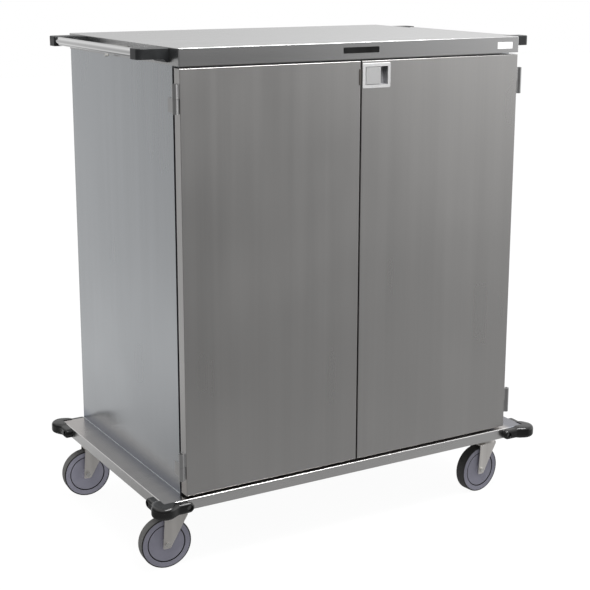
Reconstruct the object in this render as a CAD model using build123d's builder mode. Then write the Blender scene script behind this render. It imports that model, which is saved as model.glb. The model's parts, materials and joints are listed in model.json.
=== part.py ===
"""Enclosed two-door stainless steel cart on four swivel casters.

Origin on the floor under the middle of the base platform, +Z up, doors facing -Y.
The doors are modelled closed and every wheel trails towards -X. Millimetres.
"""
from build123d import *
from math import cos, radians, sin
import os

os.makedirs("parts", exist_ok=True)

# ---------------------------------------------------------------- driving dimensions
HEIGHT = 1500.0  # floor to the upper face of the top panel
BODY_WIDTH = 1150.0
BASE_LENGTH = 1294.0
BASE_DEPTH = 794.0
BASE_TOP = 233.0
BASE_LIP = 32.0
BASE_SHEET = 2.0
SHEET = 1.5
FRONT = -390.0  # plane of the door faces and of the top panel's front lip
TOP_DEPTH = 790.0
TOP_LIP = 48.0

DOOR_BOTTOM = 240.0
DOOR_TOP = 1446.0
DOOR_THICKNESS = 34.0
DOOR_SEAM = 5.0
DOOR_STOP_GAP = 10.0
DOOR_EDGE = 573.0  # distance of each door's hinge edge from the middle
PIVOT_X = 585.0
PIVOT_SETBACK = 6.0
HINGE_HEIGHT = 80.0
HINGE_CENTRES = (328.0, 1366.0)

SHELF_SLOTS = (9, 21, 33)  # pilaster slot that each row of clips hangs in
SLOT_PITCH = 25.4
FIRST_SLOT = 290.0

CASTER_INSET_X = 79.0
CASTER_INSET_Y = 90.0
WHEEL_DIAMETER = 152.4
WHEEL_WIDTH = 34.0
TRAIL = 38.0
CASTER_HEIGHT = 193.0

HANDLE_DIAMETER = 25.4
HANDLE_X = 650.0
HANDLE_Z = 1483.0

# each corner: side of the cart in X and in Y, and how far its caster is turned
CORNERS = {
    "front_left": (-1, -1, -5.0),
    "front_right": (1, -1, 6.0),
    "rear_left": (-1, 1, -5.0),
    "rear_right": (1, 1, 2.0),
}
SIDES = {"left": -1, "right": 1}

# ---------------------------------------------------------------- derived dimensions
TOP_BACK = FRONT + TOP_DEPTH
TOP_MIDDLE = FRONT + TOP_DEPTH / 2
HALF_BODY = BODY_WIDTH / 2 - SHEET  # outer face of the side panels, inside the top's lip
BODY_BACK = TOP_BACK - 4.0
DOOR_BACK = FRONT + DOOR_THICKNESS
STOP_FACE = DOOR_BACK + DOOR_STOP_GAP
HALF_BASE = BASE_LENGTH / 2
HALF_DEPTH = BASE_DEPTH / 2
PIVOT_Y = FRONT + PIVOT_SETBACK
CASTER_X = HALF_BASE - CASTER_INSET_X
CASTER_Y = HALF_DEPTH - CASTER_INSET_Y
WHEEL_RADIUS = WHEEL_DIAMETER / 2
RUNNING_GAP = 0.08  # between a pin and the bore that turns on it

TURN_TO = {"x": (0, 90, 0), "y": (90, 0, 0), "z": (0, 0, 0)}


def across(side, inner, outer):
    """The X limits of a piece on one side of the cart, lowest first."""
    return tuple(sorted((side * inner, side * outer)))


def block(x, y, z, mode=Mode.ADD):
    """A box between two limits on each axis of the part being built."""
    with Locations(((x[0] + x[1]) / 2, (y[0] + y[1]) / 2, (z[0] + z[1]) / 2)):
        Box(x[1] - x[0], y[1] - y[0], z[1] - z[0], mode=mode)


def rod(centres, radius, length, along, mode=Mode.ADD):
    """Equal cylinders about the given centres, along one axis of the part."""
    with Locations(*centres):
        Cylinder(radius, length, rotation=TURN_TO[along], mode=mode)


def hexagon(centres, flats, length, along, mode=Mode.ADD):
    """Equal hexagonal bolt heads or nuts about the given centres."""
    with BuildSketch() as head:
        RegularPolygon(flats / 2, 6, major_radius=False)
    solid = extrude(head.sketch, amount=length / 2, both=True, mode=Mode.PRIVATE)
    with Locations(*[Location(centre, TURN_TO[along]) for centre in centres]):
        add(solid, mode=mode)


# ---------------------------------------------------------------- base platform
BUMPER_LEG = 86.0
BUMPER_END_RADIUS = 15.5
BUMPER_BOLT = BUMPER_LEG - BUMPER_END_RADIUS  # bolt's distance from the corner
BUMPER_THICKNESS = 22.0
BUMPER_BULGE = 37.0
BUMPER_LEG_TOP = 231.0
BUMPER_NOSE = (198.0, 234.0)  # lower and upper face of the nose
BUMPER_BOLT_Z = BUMPER_LEG_TOP - BUMPER_END_RADIUS
BOLT_RECESS_RADIUS = 9.0
BOLT_SEAT = 11.0  # thickness of rubber left under each bolt's head
M8_RADIUS = 4.0
M8_CLEARANCE = 4.25
M8_FLATS = 13.0
CHANNEL_HALF_WIDTH = 62.0
CHANNEL_SHEET = 3.0

front_rear_bolts = [
    (sx * (HALF_BASE - BUMPER_BOLT), sy * HALF_DEPTH, BUMPER_BOLT_Z)
    for sx, sy, _ in CORNERS.values()
]
end_bolts = [
    (sx * HALF_BASE, sy * (HALF_DEPTH - BUMPER_BOLT), BUMPER_BOLT_Z)
    for sx, sy, _ in CORNERS.values()
]


def build_base_platform():
    """A folded pan, open underneath, with holes for the bumper bolts in its lips."""
    bottom = BASE_TOP - BASE_LIP
    with BuildPart() as base_platform:
        block((-HALF_BASE, HALF_BASE), (-HALF_DEPTH, HALF_DEPTH), (bottom, BASE_TOP))
        fillet(base_platform.faces().sort_by(Axis.Z)[-1].edges(), 2.5)
        inner_x = HALF_BASE - BASE_SHEET
        inner_y = HALF_DEPTH - BASE_SHEET
        inner_z = (bottom, BASE_TOP - BASE_SHEET)
        block((-inner_x, inner_x), (-inner_y, inner_y), inner_z, Mode.SUBTRACT)
        rod(front_rear_bolts, M8_CLEARANCE, 5 * BASE_SHEET, "y", Mode.SUBTRACT)
        rod(end_bolts, M8_CLEARANCE, 5 * BASE_SHEET, "x", Mode.SUBTRACT)
    base_platform.part.label = "base_platform"
    export_step(base_platform.part, "parts/base_platform.step")


def caster_bolt_places():
    """Centres in X and Y of the four bolts of every caster's plate."""
    places = []
    for sx, sy, _ in CORNERS.values():
        for dx in (-38, 38):
            for dy in (-32, 32):
                places.append((sx * CASTER_X + dx, sy * CASTER_Y + dy))
    return places


def build_base_channels():
    """Two hat channels across the underside of the base, one over each pair of casters."""
    top = BASE_TOP - BASE_SHEET
    length = CASTER_Y + PLATE_HALF_SIZE[1]
    inner = CHANNEL_HALF_WIDTH - CHANNEL_SHEET
    with BuildPart() as base_channels:
        for side in SIDES.values():
            middle = side * CASTER_X
            outside = (middle - CHANNEL_HALF_WIDTH, middle + CHANNEL_HALF_WIDTH)
            block(outside, (-length, length), (CASTER_HEIGHT, top))
            inside = (middle - inner, middle + inner)
            heights = (CASTER_HEIGHT + CHANNEL_SHEET, top)
            block(inside, (-length, length), heights, Mode.SUBTRACT)
        holes = [(x, y, CASTER_HEIGHT) for x, y in caster_bolt_places()]
        rod(holes, M8_CLEARANCE, 20, "z", Mode.SUBTRACT)
    base_channels.part.label = "base_channels"
    export_step(base_channels.part, "parts/base_channels.step")


def add_bumper_leg(lip, reach):
    """One pill-shaped leg, drawn on the plane of a lip and reaching along it."""
    with BuildSketch(lip) as leg:
        with Locations((reach * BUMPER_BOLT / 2, BUMPER_BOLT_Z)):
            Rectangle(BUMPER_BOLT, 2 * BUMPER_END_RADIUS)
        with Locations((reach * BUMPER_BOLT, BUMPER_BOLT_Z)):
            Circle(BUMPER_END_RADIUS)
    extrude(leg.sketch, amount=BUMPER_THICKNESS)


def build_corner_bumper(corner, sx, sy):
    """A moulded corner: a drooping round nose with a pill-shaped leg along each lip."""
    turned = Vector(-sy, 0, 0) if sx * sy > 0 else Vector(0, -sy, 0)
    frame = Plane(origin=(sx * HALF_BASE, sy * HALF_DEPTH, 0), x_dir=turned, z_dir=(0, 0, 1))
    nose_low, nose_high = BUMPER_NOSE
    past = 2 * BUMPER_LEG  # cutters reach this far, beyond the piece
    with BuildPart(frame) as bumper:
        add_bumper_leg(Plane(frame.origin, frame.x_dir, -frame.y_dir), 1)
        add_bumper_leg(Plane(frame.origin, -frame.y_dir, -frame.x_dir), -1)
        fillet(bumper.edges().group_by(Axis(frame.origin, frame.y_dir))[0], 6)
        fillet(bumper.edges().group_by(Axis(frame.origin, frame.x_dir))[0], 6)
        with BuildSketch(Plane(frame.origin, frame.x_dir, -frame.y_dir)) as nose:
            with Locations((0, (nose_high + nose_low) / 2)):
                Rectangle(2 * BUMPER_BULGE, nose_high - nose_low)
            fillet(nose.vertices().group_by(Axis.Y)[0], 9)
            fillet(nose.vertices().group_by(Axis.Y)[-1], 7)
            with Locations((BUMPER_BULGE, nose_high)):
                Rectangle(2 * BUMPER_BULGE, 4 * BUMPER_BULGE, mode=Mode.SUBTRACT)
        revolve(axis=Axis(frame.origin, (0, 0, 1)))
        block((0, past), (0, past), (nose_low - 5, nose_high + 5), Mode.SUBTRACT)
        recess = (-BOLT_SEAT - past / 2, BUMPER_BOLT)
        rod([(*reversed(recess), BUMPER_BOLT_Z)], BOLT_RECESS_RADIUS, past, "y", Mode.SUBTRACT)
        rod([(*recess, BUMPER_BOLT_Z)], BOLT_RECESS_RADIUS, past, "x", Mode.SUBTRACT)
        rod([(BUMPER_BOLT, 0, BUMPER_BOLT_Z)], M8_CLEARANCE, past / 2, "y", Mode.SUBTRACT)
        rod([(0, BUMPER_BOLT, BUMPER_BOLT_Z)], M8_CLEARANCE, past / 2, "x", Mode.SUBTRACT)
    bumper.part.label = f"bumper_{corner}"
    export_step(bumper.part, f"parts/bumper_{corner}.step")


def build_bumper_bolts():
    """Button-head bolts through the bumper legs and the lips, with nuts inside."""
    head, nut = 5, 6
    shank = BOLT_SEAT + 2 * nut
    with BuildPart() as bumper_bolts:
        for axis, places in (("y", front_rear_bolts), ("x", end_bolts)):
            for place in places:
                lip = Vector(*place)
                out = Vector(0, place[1], 0) if axis == "y" else Vector(place[0], 0, 0)
                out = out.normalized()
                rod([lip + out * (BOLT_SEAT + head / 2)], 7.5, head, axis)
                rod([lip + out * (BOLT_SEAT - shank / 2)], M8_RADIUS, shank, axis)
                hexagon([lip - out * (BASE_SHEET + nut / 2)], M8_FLATS, nut, axis)
    bumper_bolts.part.label = "bumper_bolts"
    export_step(bumper_bolts.part, "parts/bumper_bolts.step")


# ---------------------------------------------------------------- casters
PLATE_THICKNESS = 4.0
PLATE_BOTTOM = CASTER_HEIGHT - PLATE_THICKNESS
PLATE_HALF_SIZE = (50.0, 44.0)
UPPER_RACE_RADIUS = 28.0
LOWER_RACE_RADIUS = 30.0
SEAL_RADIUS = 31.0
FORK_SHEET = 3.2
FORK_GAP = 41.0
CROWN_X = (-44.0, 26.0)
CROWN_TOP = 163.2
CROWN_BOTTOM = CROWN_TOP - FORK_SHEET
LEG_END_BOTTOM = 62.0
LEG_END_X = (-51.0, -28.0)
LEG_SHOULDER = (16.0, 140.0)  # where the slanted front edge of a leg turns upright
LOWER_RACE_TOP = 172.0
SEAL_TOP = 177.0
KINGPIN_RADIUS = 6.0
AXLE_RADIUS = 4.0


def build_caster_top_plates():
    """Mounting plates with their upper races, each with a kingpin through it."""
    with BuildPart() as caster_top_plates:
        for sx, sy, _ in CORNERS.values():
            x = sx * CASTER_X
            y = sy * CASTER_Y
            half_x, half_y = PLATE_HALF_SIZE
            block((x - half_x, x + half_x), (y - half_y, y + half_y), (PLATE_BOTTOM, CASTER_HEIGHT))
            race = PLATE_BOTTOM - SEAL_TOP
            rod([(x, y, PLATE_BOTTOM - race / 2)], UPPER_RACE_RADIUS, race, "z")
        holes = [(x, y, CASTER_HEIGHT) for x, y in caster_bolt_places()]
        rod(holes, M8_CLEARANCE, 20, "z", Mode.SUBTRACT)
        for sx, sy, _ in CORNERS.values():
            x = sx * CASTER_X
            y = sy * CASTER_Y
            pin = SEAL_TOP - CROWN_BOTTOM + 1
            rod([(x, y, SEAL_TOP - pin / 2)], KINGPIN_RADIUS, pin, "z")
            rod([(x, y, CROWN_BOTTOM - 3)], 1.5 * KINGPIN_RADIUS, 4, "z")
    caster_top_plates.part.label = "caster_top_plates"
    export_step(caster_top_plates.part, "parts/caster_top_plates.step")


def build_caster_dust_seals():
    """Rings that close the gap between the upper and lower races."""
    with BuildPart() as caster_dust_seals:
        for sx, sy, _ in CORNERS.values():
            height = SEAL_TOP - LOWER_RACE_TOP - 0.5
            middle = (sx * CASTER_X, sy * CASTER_Y, SEAL_TOP - height / 2)
            rod([middle], SEAL_RADIUS, height, "z")
            rod([middle], 20, 2 * height, "z", Mode.SUBTRACT)
    caster_dust_seals.part.label = "caster_dust_seals"
    export_step(caster_dust_seals.part, "parts/caster_dust_seals.step")


def build_caster_plate_bolts():
    """Hexagon bolts from below through each plate and channel, with nuts on top."""
    channel_top = CASTER_HEIGHT + CHANNEL_SHEET
    head, nut = 5.5, 6.5
    shank = (PLATE_BOTTOM, channel_top + nut + 2.5)
    with BuildPart() as caster_plate_bolts:
        for x, y in caster_bolt_places():
            hexagon([(x, y, PLATE_BOTTOM - head / 2)], M8_FLATS, head, "z")
            rod([(x, y, sum(shank) / 2)], M8_RADIUS, shank[1] - shank[0], "z")
            hexagon([(x, y, channel_top + nut / 2)], M8_FLATS, nut, "z")
    caster_plate_bolts.part.label = "caster_plate_bolts"
    export_step(caster_plate_bolts.part, "parts/caster_plate_bolts.step")


def build_fork(corner, frame, leg_plane):
    """Pressed fork: two tapering legs under a crown that carries the lower race."""
    half_gap = FORK_GAP / 2
    back, front = CROWN_X
    outline = [
        (LEG_END_X[0], LEG_END_BOTTOM),
        (LEG_END_X[1], LEG_END_BOTTOM),
        LEG_SHOULDER,
        (front, CROWN_BOTTOM - 3),
        (front, CROWN_TOP),
        (back, CROWN_TOP),
    ]
    with BuildPart(frame) as fork:
        for start in (half_gap, -half_gap - FORK_SHEET):
            with BuildSketch(leg_plane.offset(start)) as leg:
                with BuildLine():
                    Polyline(*outline, close=True)
                make_face()
                end_corners = leg.vertices().group_by(Axis.Y)[0].sort_by(Axis.X)
                fillet(end_corners[0], 3)
                fillet(leg.vertices().group_by(Axis.Y)[0].sort_by(Axis.X)[-1], 8)
            extrude(amount=FORK_SHEET)
        block(CROWN_X, (-half_gap, half_gap), (CROWN_BOTTOM, CROWN_TOP))
        bends = fork.edges().filter_by(Axis(frame.origin, frame.x_dir)).group_by(Axis.Z)[-1]
        fillet(bends, 3)
        race = LOWER_RACE_TOP - CROWN_TOP
        rod([(0, 0, CROWN_TOP + race / 2)], LOWER_RACE_RADIUS, race, "z")
        rod([(0, 0, LOWER_RACE_TOP)], KINGPIN_RADIUS + RUNNING_GAP, 40, "z", Mode.SUBTRACT)
        rod([(-TRAIL, 0, WHEEL_RADIUS)], AXLE_RADIUS, 2 * FORK_GAP, "y", Mode.SUBTRACT)
    fork.part.label = f"fork_{corner}"
    export_step(fork.part, f"parts/fork_{corner}.step")


def build_axle(corner, frame):
    """Axle bolt with its head on the front leg, a nut on the rear one and thrust washers."""
    outer = FORK_GAP / 2 + FORK_SHEET
    head, nut, washer = 5.5, 6.5, 1
    shank = (-outer - 1, outer + nut + 2)
    with BuildPart(frame) as axle:
        rod([(-TRAIL, sum(shank) / 2, WHEEL_RADIUS)], AXLE_RADIUS, shank[1] - shank[0], "y")
        hexagon([(-TRAIL, -outer - head / 2, WHEEL_RADIUS)], M8_FLATS, head, "y")
        hexagon([(-TRAIL, outer + nut / 2, WHEEL_RADIUS)], M8_FLATS, nut, "y")
        places = [(-TRAIL, side * (FORK_GAP - washer) / 2, WHEEL_RADIUS) for side in SIDES.values()]
        rod(places, 2 * AXLE_RADIUS, washer, "y")
    axle.part.label = f"axle_{corner}"
    export_step(axle.part, f"parts/axle_{corner}.step")


HUB_HALF_WIDTH = 19.0
BUSH_RADIUS = 8.0
CORE_RADIUS = 72.4
GROOVE_RADII = (55.0, 57.5)


def build_wheel_core(corner, wheel_plane):
    """Moulded disc centre with a ring groove in both faces, on a sleeve bearing."""
    ring_face = WHEEL_WIDTH / 2 - 0.5
    disc_face = WHEEL_WIDTH / 2 - 1.5
    outline = [
        (HUB_HALF_WIDTH, BUSH_RADIUS),
        (HUB_HALF_WIDTH, 15),
        (disc_face, 19),
        (disc_face, GROOVE_RADII[0]),
        (disc_face - 2.5, GROOVE_RADII[0]),
        (disc_face - 2.5, GROOVE_RADII[1]),
        (ring_face, GROOVE_RADII[1]),
        (ring_face, CORE_RADIUS),
        (12, CORE_RADIUS),
        (12, CORE_RADIUS - 6),
    ]
    mirrored = [(-w, r) for w, r in reversed(outline)]
    axle_axis = Axis(wheel_plane.origin, wheel_plane.x_dir)
    with BuildPart() as wheel_core:
        with BuildSketch(wheel_plane):
            with BuildLine():
                Polyline(*outline, *mirrored, close=True)
            make_face()
        revolve(axis=axle_axis)
        with BuildSketch(wheel_plane) as sleeve:
            with Locations((0, (BUSH_RADIUS + AXLE_RADIUS + RUNNING_GAP) / 2)):
                Rectangle(2 * HUB_HALF_WIDTH, BUSH_RADIUS - AXLE_RADIUS - RUNNING_GAP)
    bearing = revolve(sleeve.sketch, axis=axle_axis, mode=Mode.PRIVATE)
    wheel = Compound(children=[*wheel_core.part.solids(), *bearing.solids()])
    wheel.label = f"wheel_core_{corner}"
    export_step(wheel, f"parts/wheel_core_{corner}.step")


def build_wheel_tread(corner, wheel_plane):
    """Tread band with rounded shoulders and an inner rib that keys into the core."""
    half = WHEEL_WIDTH / 2
    outline = [
        (half, WHEEL_RADIUS),
        (-half, WHEEL_RADIUS),
        (-half, CORE_RADIUS),
        (-12, CORE_RADIUS),
        (-12, CORE_RADIUS - 6),
        (12, CORE_RADIUS - 6),
        (12, CORE_RADIUS),
        (half, CORE_RADIUS),
    ]
    with BuildPart() as tread:
        with BuildSketch(wheel_plane) as section:
            with BuildLine():
                Polyline(*outline, close=True)
            make_face()
            fillet(section.vertices().group_by(Axis.Y)[-1], 3)
        revolve(axis=Axis(wheel_plane.origin, wheel_plane.x_dir))
    tread.part.label = f"tread_{corner}"
    export_step(tread.part, f"parts/tread_{corner}.step")


def build_caster(corner, sx, sy, turn):
    """The turning pieces of one caster, built in a frame on its swivel axis."""
    ahead = (cos(radians(turn)), sin(radians(turn)), 0)
    frame = Plane(origin=(sx * CASTER_X, sy * CASTER_Y, 0), x_dir=ahead, z_dir=(0, 0, 1))
    leg_plane = Plane(origin=frame.origin, x_dir=frame.x_dir, z_dir=-frame.y_dir)
    hub = frame.origin - frame.x_dir * TRAIL + Vector(0, 0, WHEEL_RADIUS)
    wheel_plane = Plane(origin=hub, x_dir=frame.y_dir, z_dir=frame.x_dir)
    build_fork(corner, frame, leg_plane)
    build_axle(corner, frame)
    build_wheel_core(corner, wheel_plane)
    build_wheel_tread(corner, wheel_plane)


# ---------------------------------------------------------------- cabinet
POST_WIDTH = 25.0
POST_RETURN = 16.0
BACK_FLANGE = 20.0
HEADER_DEPTH = 36.0
FLOOR_TOP = 262.0
HEADER_BOTTOM = 1425.0
BRACKET_FRONT = FRONT + 61.0
SCREW_INSETS = (16.0, 56.0)  # from the bracket's outer end
SCREW_Z = 1478.0
SCREW_RADIUS = 3.0
SCREW_HOLE = 3.2
BRACKET_SCREWS = [
    (side * BODY_WIDTH / 2, TOP_MIDDLE + end * (TOP_MIDDLE - BRACKET_FRONT - inset), SCREW_Z)
    for side in (-1, 1)
    for end in (-1, 1)
    for inset in SCREW_INSETS
]


def build_side_panels():
    """Side panels, each folded round at the front into a post that the door closes on."""
    for name, side in SIDES.items():
        inner = HALF_BODY - SHEET
        heights = (BASE_TOP, HEIGHT - SHEET)
        with BuildPart() as side_panel:
            block(across(side, inner, HALF_BODY), (STOP_FACE, BODY_BACK - SHEET), heights)
            block(across(side, HALF_BODY - POST_WIDTH, HALF_BODY), (STOP_FACE, STOP_FACE + SHEET), heights)
            post = across(side, HALF_BODY - POST_WIDTH, HALF_BODY - POST_WIDTH + SHEET)
            block(post, (STOP_FACE, STOP_FACE + POST_RETURN), heights)
            places = [place for place in BRACKET_SCREWS if place[0] * side > 0]
            rod(places, SCREW_HOLE, 10, "x", Mode.SUBTRACT)
        side_panel.part.label = f"{name}_side_panel"
        export_step(side_panel.part, f"parts/{name}_side_panel.step")


def build_back_panel():
    """Back panel with a flange folded forward inside each side panel."""
    heights = (BASE_TOP, HEIGHT - SHEET)
    inner = HALF_BODY - SHEET
    with BuildPart() as back_panel:
        block((-HALF_BODY, HALF_BODY), (BODY_BACK - SHEET, BODY_BACK), heights)
        for side in SIDES.values():
            depth = (BODY_BACK - BACK_FLANGE, BODY_BACK - SHEET)
            block(across(side, inner - SHEET, inner), depth, heights)
    back_panel.part.label = "back_panel"
    export_step(back_panel.part, "parts/back_panel.step")


def build_cabinet_floor():
    """Raised floor whose front edge is the sill behind the doors; its top runs on to the walls."""
    half = HALF_BODY - POST_WIDTH
    inner = half - SHEET
    back = BODY_BACK - BACK_FLANGE - 1
    with BuildPart() as cabinet_floor:
        block((-half, half), (STOP_FACE, back), (BASE_TOP, FLOOR_TOP))
        inner_y = (STOP_FACE + SHEET, back - SHEET)
        block((-inner, inner), inner_y, (BASE_TOP, FLOOR_TOP - SHEET), Mode.SUBTRACT)
        reach = HALF_BODY - 2 * SHEET
        depth = (STOP_FACE + POST_RETURN, BODY_BACK - SHEET)
        block((-reach, reach), depth, (FLOOR_TOP - SHEET, FLOOR_TOP))
    cabinet_floor.part.label = "cabinet_floor"
    export_step(cabinet_floor.part, "parts/cabinet_floor.step")


def build_header_channel():
    """Channel across the head of the door opening, behind the doors' upper edges."""
    half = HALF_BODY - POST_WIDTH
    back = STOP_FACE + HEADER_DEPTH
    with BuildPart() as header_channel:
        block((-half, half), (STOP_FACE, back), (HEADER_BOTTOM, HEIGHT - SHEET))
        inner = (STOP_FACE + SHEET, back + SHEET)
        block((-half, half), inner, (HEADER_BOTTOM + SHEET, HEIGHT - 2 * SHEET), Mode.SUBTRACT)
    header_channel.part.label = "header_channel"
    export_step(header_channel.part, "parts/header_channel.step")


def build_top_panel():
    """Top pan that fits over the cabinet, with holes for the handle screws."""
    half = BODY_WIDTH / 2
    bottom = HEIGHT - TOP_LIP
    with BuildPart() as top_panel:
        block((-half, half), (FRONT, TOP_BACK), (bottom, HEIGHT))
        fillet(top_panel.edges().filter_by(Axis.Z), 2.5)
        fillet(top_panel.faces().sort_by(Axis.Z)[-1].edges(), 2)
        inner = half - SHEET
        block((-inner, inner), (FRONT + SHEET, TOP_BACK - SHEET), (bottom, HEIGHT - SHEET), Mode.SUBTRACT)
        rod(BRACKET_SCREWS, SCREW_HOLE, 10, "x", Mode.SUBTRACT)
    top_panel.part.label = "top_panel"
    export_step(top_panel.part, "parts/top_panel.step")


# ---------------------------------------------------------------- shelves
PILASTER_YS = (-290.0, 330.0)
PILASTER_DEPTH = 6.0
PILASTER_FACE = HALF_BODY - SHEET - PILASTER_DEPTH
SHELF_LIP = 25.0
SHELF_SHEET = 1.2
SLOT_COUNT = 44


def slot_height(index):
    """Middle height of a pilaster slot, counted from the lowest."""
    return FIRST_SLOT + SLOT_PITCH * index


def build_shelf_pilasters():
    """Four slotted strips, two on each side wall."""
    wall = HALF_BODY - SHEET
    heights = (FIRST_SLOT - 16, slot_height(SLOT_COUNT - 1) + 16)
    with BuildPart() as shelf_pilasters:
        for side in SIDES.values():
            for y in PILASTER_YS:
                block(across(side, PILASTER_FACE, wall), (y - 11, y + 11), heights)
                block(across(side, PILASTER_FACE + 1.2, wall), (y - 9.8, y + 9.8), heights, Mode.SUBTRACT)
        slots = [
            (side * PILASTER_FACE, y, slot_height(i))
            for side in SIDES.values()
            for y in PILASTER_YS
            for i in range(SLOT_COUNT)
        ]
        with Locations(*slots):
            Box(4, 11, 7, mode=Mode.SUBTRACT)
    shelf_pilasters.part.label = "shelf_pilasters"
    export_step(shelf_pilasters.part, "parts/shelf_pilasters.step")


def build_shelf_clips():
    """Clips hooked into the slots; each carries a corner of a shelf on its ledge."""
    with BuildPart() as shelf_clips:
        for side in SIDES.values():
            for y in PILASTER_YS:
                for index in SHELF_SLOTS:
                    z = slot_height(index)
                    wide = (y - 8, y + 8)
                    plate = across(side, PILASTER_FACE - 1.5, PILASTER_FACE)
                    hook = across(side, PILASTER_FACE, PILASTER_FACE + 3)
                    ledge = across(side, PILASTER_FACE - 14, PILASTER_FACE)
                    block(plate, wide, (z - 12, z + 12))
                    block(hook, (y - 5, y + 5), (z - 3, z + 3))
                    block(ledge, wide, (z - 12, z - 10))
    shelf_clips.part.label = "shelf_clips"
    export_step(shelf_clips.part, "parts/shelf_clips.step")


def build_shelves():
    """Three pan shelves with lips turned down on all four edges."""
    half = PILASTER_FACE - 2.5
    front = STOP_FACE + HEADER_DEPTH + 4
    back = BODY_BACK - BACK_FLANGE - 4
    for name, index in zip(("lower", "middle", "upper"), SHELF_SLOTS):
        bottom = slot_height(index) - 10
        top = bottom + SHELF_LIP
        with BuildPart() as shelf:
            block((-half, half), (front, back), (bottom, top))
            fillet(shelf.faces().sort_by(Axis.Z)[-1].edges(), 2)
            inner = half - SHELF_SHEET
            inner_y = (front + SHELF_SHEET, back - SHELF_SHEET)
            block((-inner, inner), inner_y, (bottom, top - SHELF_SHEET), Mode.SUBTRACT)
        shelf.part.label = f"shelf_{name}"
        export_step(shelf.part, f"parts/shelf_{name}.step")


# ---------------------------------------------------------------- handles and trim
BRACKET_OUT = 666.0
BRACKET_END_DEPTH = 50.0
BRACKET_ROOT_DEPTH = 88.0
BRACKET_TOP = 1497.5
BRACKET_ROOT_BOTTOM = 1459.0
BRACKET_END_BOTTOM = 1468.0
SOCKET_DEPTH = 30.0
TUBE_WALL = 1.5


def draw_bracket_plan(side):
    """Outline of one bracket from above: square to the lip, sweeping in behind the tube."""
    root = BODY_WIDTH / 2
    end_back = BRACKET_FRONT + BRACKET_END_DEPTH
    sweep_start = (side * (BRACKET_OUT - 32), end_back)
    sweep_end = (side * root, BRACKET_FRONT + BRACKET_ROOT_DEPTH)
    with BuildSketch(Plane.XY.offset(BRACKET_ROOT_BOTTOM)) as plan:
        with BuildLine():
            Polyline((side * root, BRACKET_FRONT), (side * BRACKET_OUT, BRACKET_FRONT),
                     (side * BRACKET_OUT, end_back), sweep_start)
            Spline(sweep_start, sweep_end, tangents=[(-side, 0.15), (-side, 1.2)])
            Line(sweep_end, (side * root, BRACKET_FRONT))
        make_face()
        outermost = 0 if side < 0 else -1
        fillet(plan.vertices().group_by(Axis.X)[outermost].sort_by(Axis.Y)[0], 14)
        fillet(plan.vertices().group_by(Axis.X)[outermost].sort_by(Axis.Y)[-1], 4)
    return plan.sketch


def draw_bracket_underside(side):
    """What is cut away below one bracket, seen from the front."""
    root = BODY_WIDTH / 2
    low = BRACKET_ROOT_BOTTOM - 10
    past = BRACKET_OUT + 10
    points = [
        (root - 5, low),
        (root - 5, BRACKET_ROOT_BOTTOM),
        (root + 6, BRACKET_ROOT_BOTTOM),
        (root + 16, BRACKET_END_BOTTOM),
        (past, BRACKET_END_BOTTOM),
        (past, low),
    ]
    with BuildSketch(Plane.XZ.offset(20 - BRACKET_FRONT)) as underside:
        with BuildLine():
            Polyline(*[(side * out, z) for out, z in points], close=True)
        make_face()
    return underside.sketch


def build_handle_brackets():
    """Moulded end brackets, a front and a rear one on each end of the top."""
    middle_plane = Plane(origin=(0, TOP_MIDDLE, 0), z_dir=(0, 1, 0))
    tube_end = BRACKET_FRONT + BRACKET_END_DEPTH - SOCKET_DEPTH / 2
    for name, side in SIDES.items():
        socket = (side * HANDLE_X, tube_end, HANDLE_Z)
        with BuildPart() as brackets:
            extrude(draw_bracket_plan(side), amount=BRACKET_TOP - BRACKET_ROOT_BOTTOM)
            cut = BRACKET_ROOT_DEPTH + 60
            extrude(draw_bracket_underside(side), amount=-cut, mode=Mode.SUBTRACT)
            fillet(brackets.faces().sort_by(Axis.Z)[-1].edges(), 2.5)
            rod([socket], HANDLE_DIAMETER / 2, SOCKET_DEPTH, "y", Mode.SUBTRACT)
            for inset in SCREW_INSETS:
                screw = (side * BODY_WIDTH / 2, BRACKET_FRONT + inset, SCREW_Z)
                rod([screw], SCREW_RADIUS, 30, "x", Mode.SUBTRACT)
            mirror(about=middle_plane)
        brackets.part.label = f"handle_brackets_{name}"
        export_step(brackets.part, f"parts/handle_brackets_{name}.step")


def build_handle_tubes():
    """Round push bars, each between its two brackets."""
    end = TOP_MIDDLE - BRACKET_FRONT - BRACKET_END_DEPTH + SOCKET_DEPTH
    outer = HANDLE_DIAMETER / 2
    for name, side in SIDES.items():
        middle = (side * HANDLE_X, TOP_MIDDLE, HANDLE_Z)
        with BuildPart() as tube:
            rod([middle], outer, 2 * end, "y")
            rod([middle], outer - TUBE_WALL, 2 * end, "y", Mode.SUBTRACT)
        tube.part.label = f"handle_tube_{name}"
        export_step(tube.part, f"parts/handle_tube_{name}.step")


def build_handle_screws():
    """Pan-head screws from inside the top's lip into the handle brackets."""
    with BuildPart() as handle_screws:
        for place in BRACKET_SCREWS:
            side = place[0] / abs(place[0])
            wall = HALF_BODY - SHEET
            rod([(side * (wall - 1.5), place[1], place[2])], 5, 3, "x")
            rod([(side * (wall + 8.5), place[1], place[2])], SCREW_RADIUS, 17, "x")
    handle_screws.part.label = "handle_screws"
    export_step(handle_screws.part, "parts/handle_screws.step")


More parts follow.
